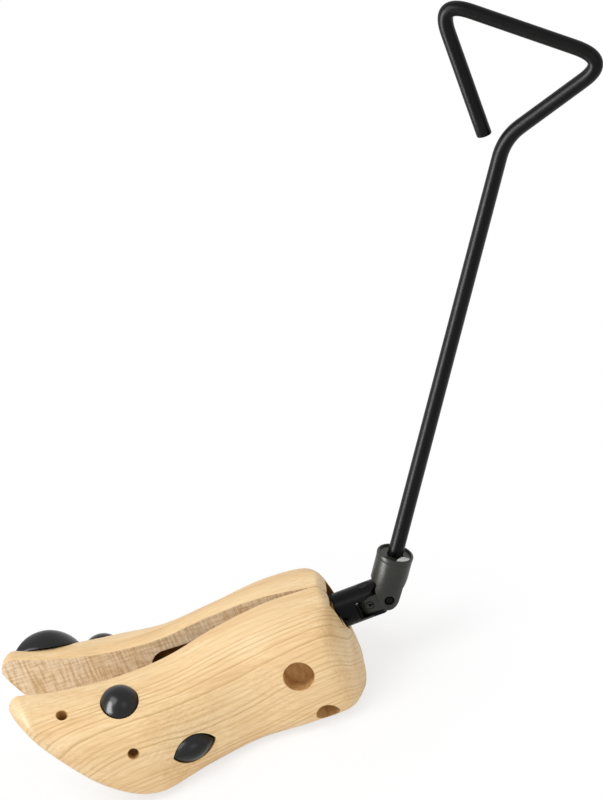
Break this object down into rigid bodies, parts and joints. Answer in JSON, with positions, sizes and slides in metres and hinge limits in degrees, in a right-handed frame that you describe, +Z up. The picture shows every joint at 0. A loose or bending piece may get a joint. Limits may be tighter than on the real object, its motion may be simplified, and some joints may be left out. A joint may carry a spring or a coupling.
{
  "type": "shoe stretcher",
  "caption": "Wooden two-way last split lengthwise: a crank handle on a universal joint turns a spindle whose nut spreads the hinged halves, with push-in dome plugs.",
  "frame": {"origin": "middle of the bounding box on the ground plane that the soles stand on", "axes": "+X from the toe towards the heel and the handle, +Y across towards the right half, +Z up from the sole"},
  "size_m": [0.5152, 0.1314, 0.4286],
  "materials": {
    "pine": "sanded and clear sealed",
    "black_steel": "blackened, satin",
    "gloss_black_steel": "gloss black",
    "zinc_steel": "zinc plated",
    "bright_steel": "bright",
    "brass": "machined",
    "black_plastic": "gloss"
  },
  "bodies": {
    "core": {"bearing_block": "zinc_steel", "upper_hinge_pin": "bright_steel", "lower_hinge_pin": "bright_steel"},
    "left_half": {"left_half": "pine", "left_cam_arm": "zinc_steel", "left_arm_screw_1": "zinc_steel", "left_arm_screw_2": "zinc_steel", "left_arm_screw_3": "zinc_steel"},
    "right_half": {"right_half": "pine", "right_cam_arm": "zinc_steel", "right_arm_screw_1": "zinc_steel", "right_arm_screw_2": "zinc_steel", "right_arm_screw_3": "zinc_steel"},
    "spindle": {"spindle_screw": "zinc_steel", "spindle_stop": "zinc_steel", "front_thrust_washer": "brass", "rear_thrust_washer": "brass", "spindle_yoke": "black_steel", "yoke_cross_pin": "zinc_steel"},
    "expander": {"expander_nut": "brass", "left_drive_pin": "bright_steel", "right_drive_pin": "bright_steel"},
    "link": {"joint_link": "black_steel", "yoke_pin": "bright_steel", "roll_pin": "zinc_steel"},
    "handle": {"handle_socket": "black_steel", "fold_pin": "black_steel", "handle_rod": "gloss_black_steel", "weld_bead": "bright_steel"},
    "left_round_plug": {"left_round_plug": "black_plastic"},
    "left_oval_plug": {"left_oval_plug": "black_plastic"},
    "right_large_plug": {"right_large_plug": "black_plastic"},
    "right_round_plug": {"right_round_plug": "black_plastic"}
  },
  "joints": [
    {"name": "spindle_turn", "type": "hinge", "parent": "core", "child": "spindle", "pos_m": [-0.05094, -0.00113, 0.0493], "axis": [1, 0, 0], "range_deg": [-1800, 720]},
    {"name": "nut_travel", "type": "slide", "parent": "core", "child": "expander", "axis": [-1, 0, 0], "range_m": [-0.0201, 0.0081]},
    {"name": "left_swing", "type": "hinge", "parent": "core", "child": "left_half", "pos_m": [-0.05094, -0.00113, 0.0493], "axis": [0, 0, 1], "range_deg": [-6.12, 2.46]},
    {"name": "right_swing", "type": "hinge", "parent": "core", "child": "right_half", "pos_m": [-0.05094, -0.00113, 0.0493], "axis": [0, 0, 1], "range_deg": [-2.46, 6.12]},
    {"name": "yoke_swing", "type": "hinge", "parent": "spindle", "child": "link", "pos_m": [-0.01894, -0.00113, 0.0493], "axis": [0, 0, 1], "range_deg": [-35, 35]},
    {"name": "handle_fold", "type": "hinge", "parent": "link", "child": "handle", "pos_m": [-0.00594, -0.00113, 0.0493], "axis": [0, -1, 0], "range_deg": [-122, 5]},
    {"name": "left_round_plug_pull", "type": "slide", "parent": "left_half", "child": "left_round_plug", "axis": [0.1407, -0.5266, 0.8384], "range_m": [0, 0.014]},
    {"name": "left_oval_plug_pull", "type": "slide", "parent": "left_half", "child": "left_oval_plug", "axis": [0.3646, -0.9311, 0.0114], "range_m": [0, 0.014]},
    {"name": "right_large_plug_pull", "type": "slide", "parent": "right_half", "child": "right_large_plug", "axis": [0.1744, 0.5775, 0.7975], "range_m": [0, 0.014]},
    {"name": "right_round_plug_pull", "type": "slide", "parent": "right_half", "child": "right_round_plug", "axis": [0.0695, 0.8887, 0.4532], "range_m": [0, 0.014]}
  ],
  "couplings": [
    {"joint": "nut_travel", "follows": "spindle_turn", "m_per_rad": 0.00063662},
    {"joint": "left_swing", "follows": "spindle_turn", "ratio": 0.0033889},
    {"joint": "right_swing", "follows": "spindle_turn", "ratio": -0.0033889}
  ]
}
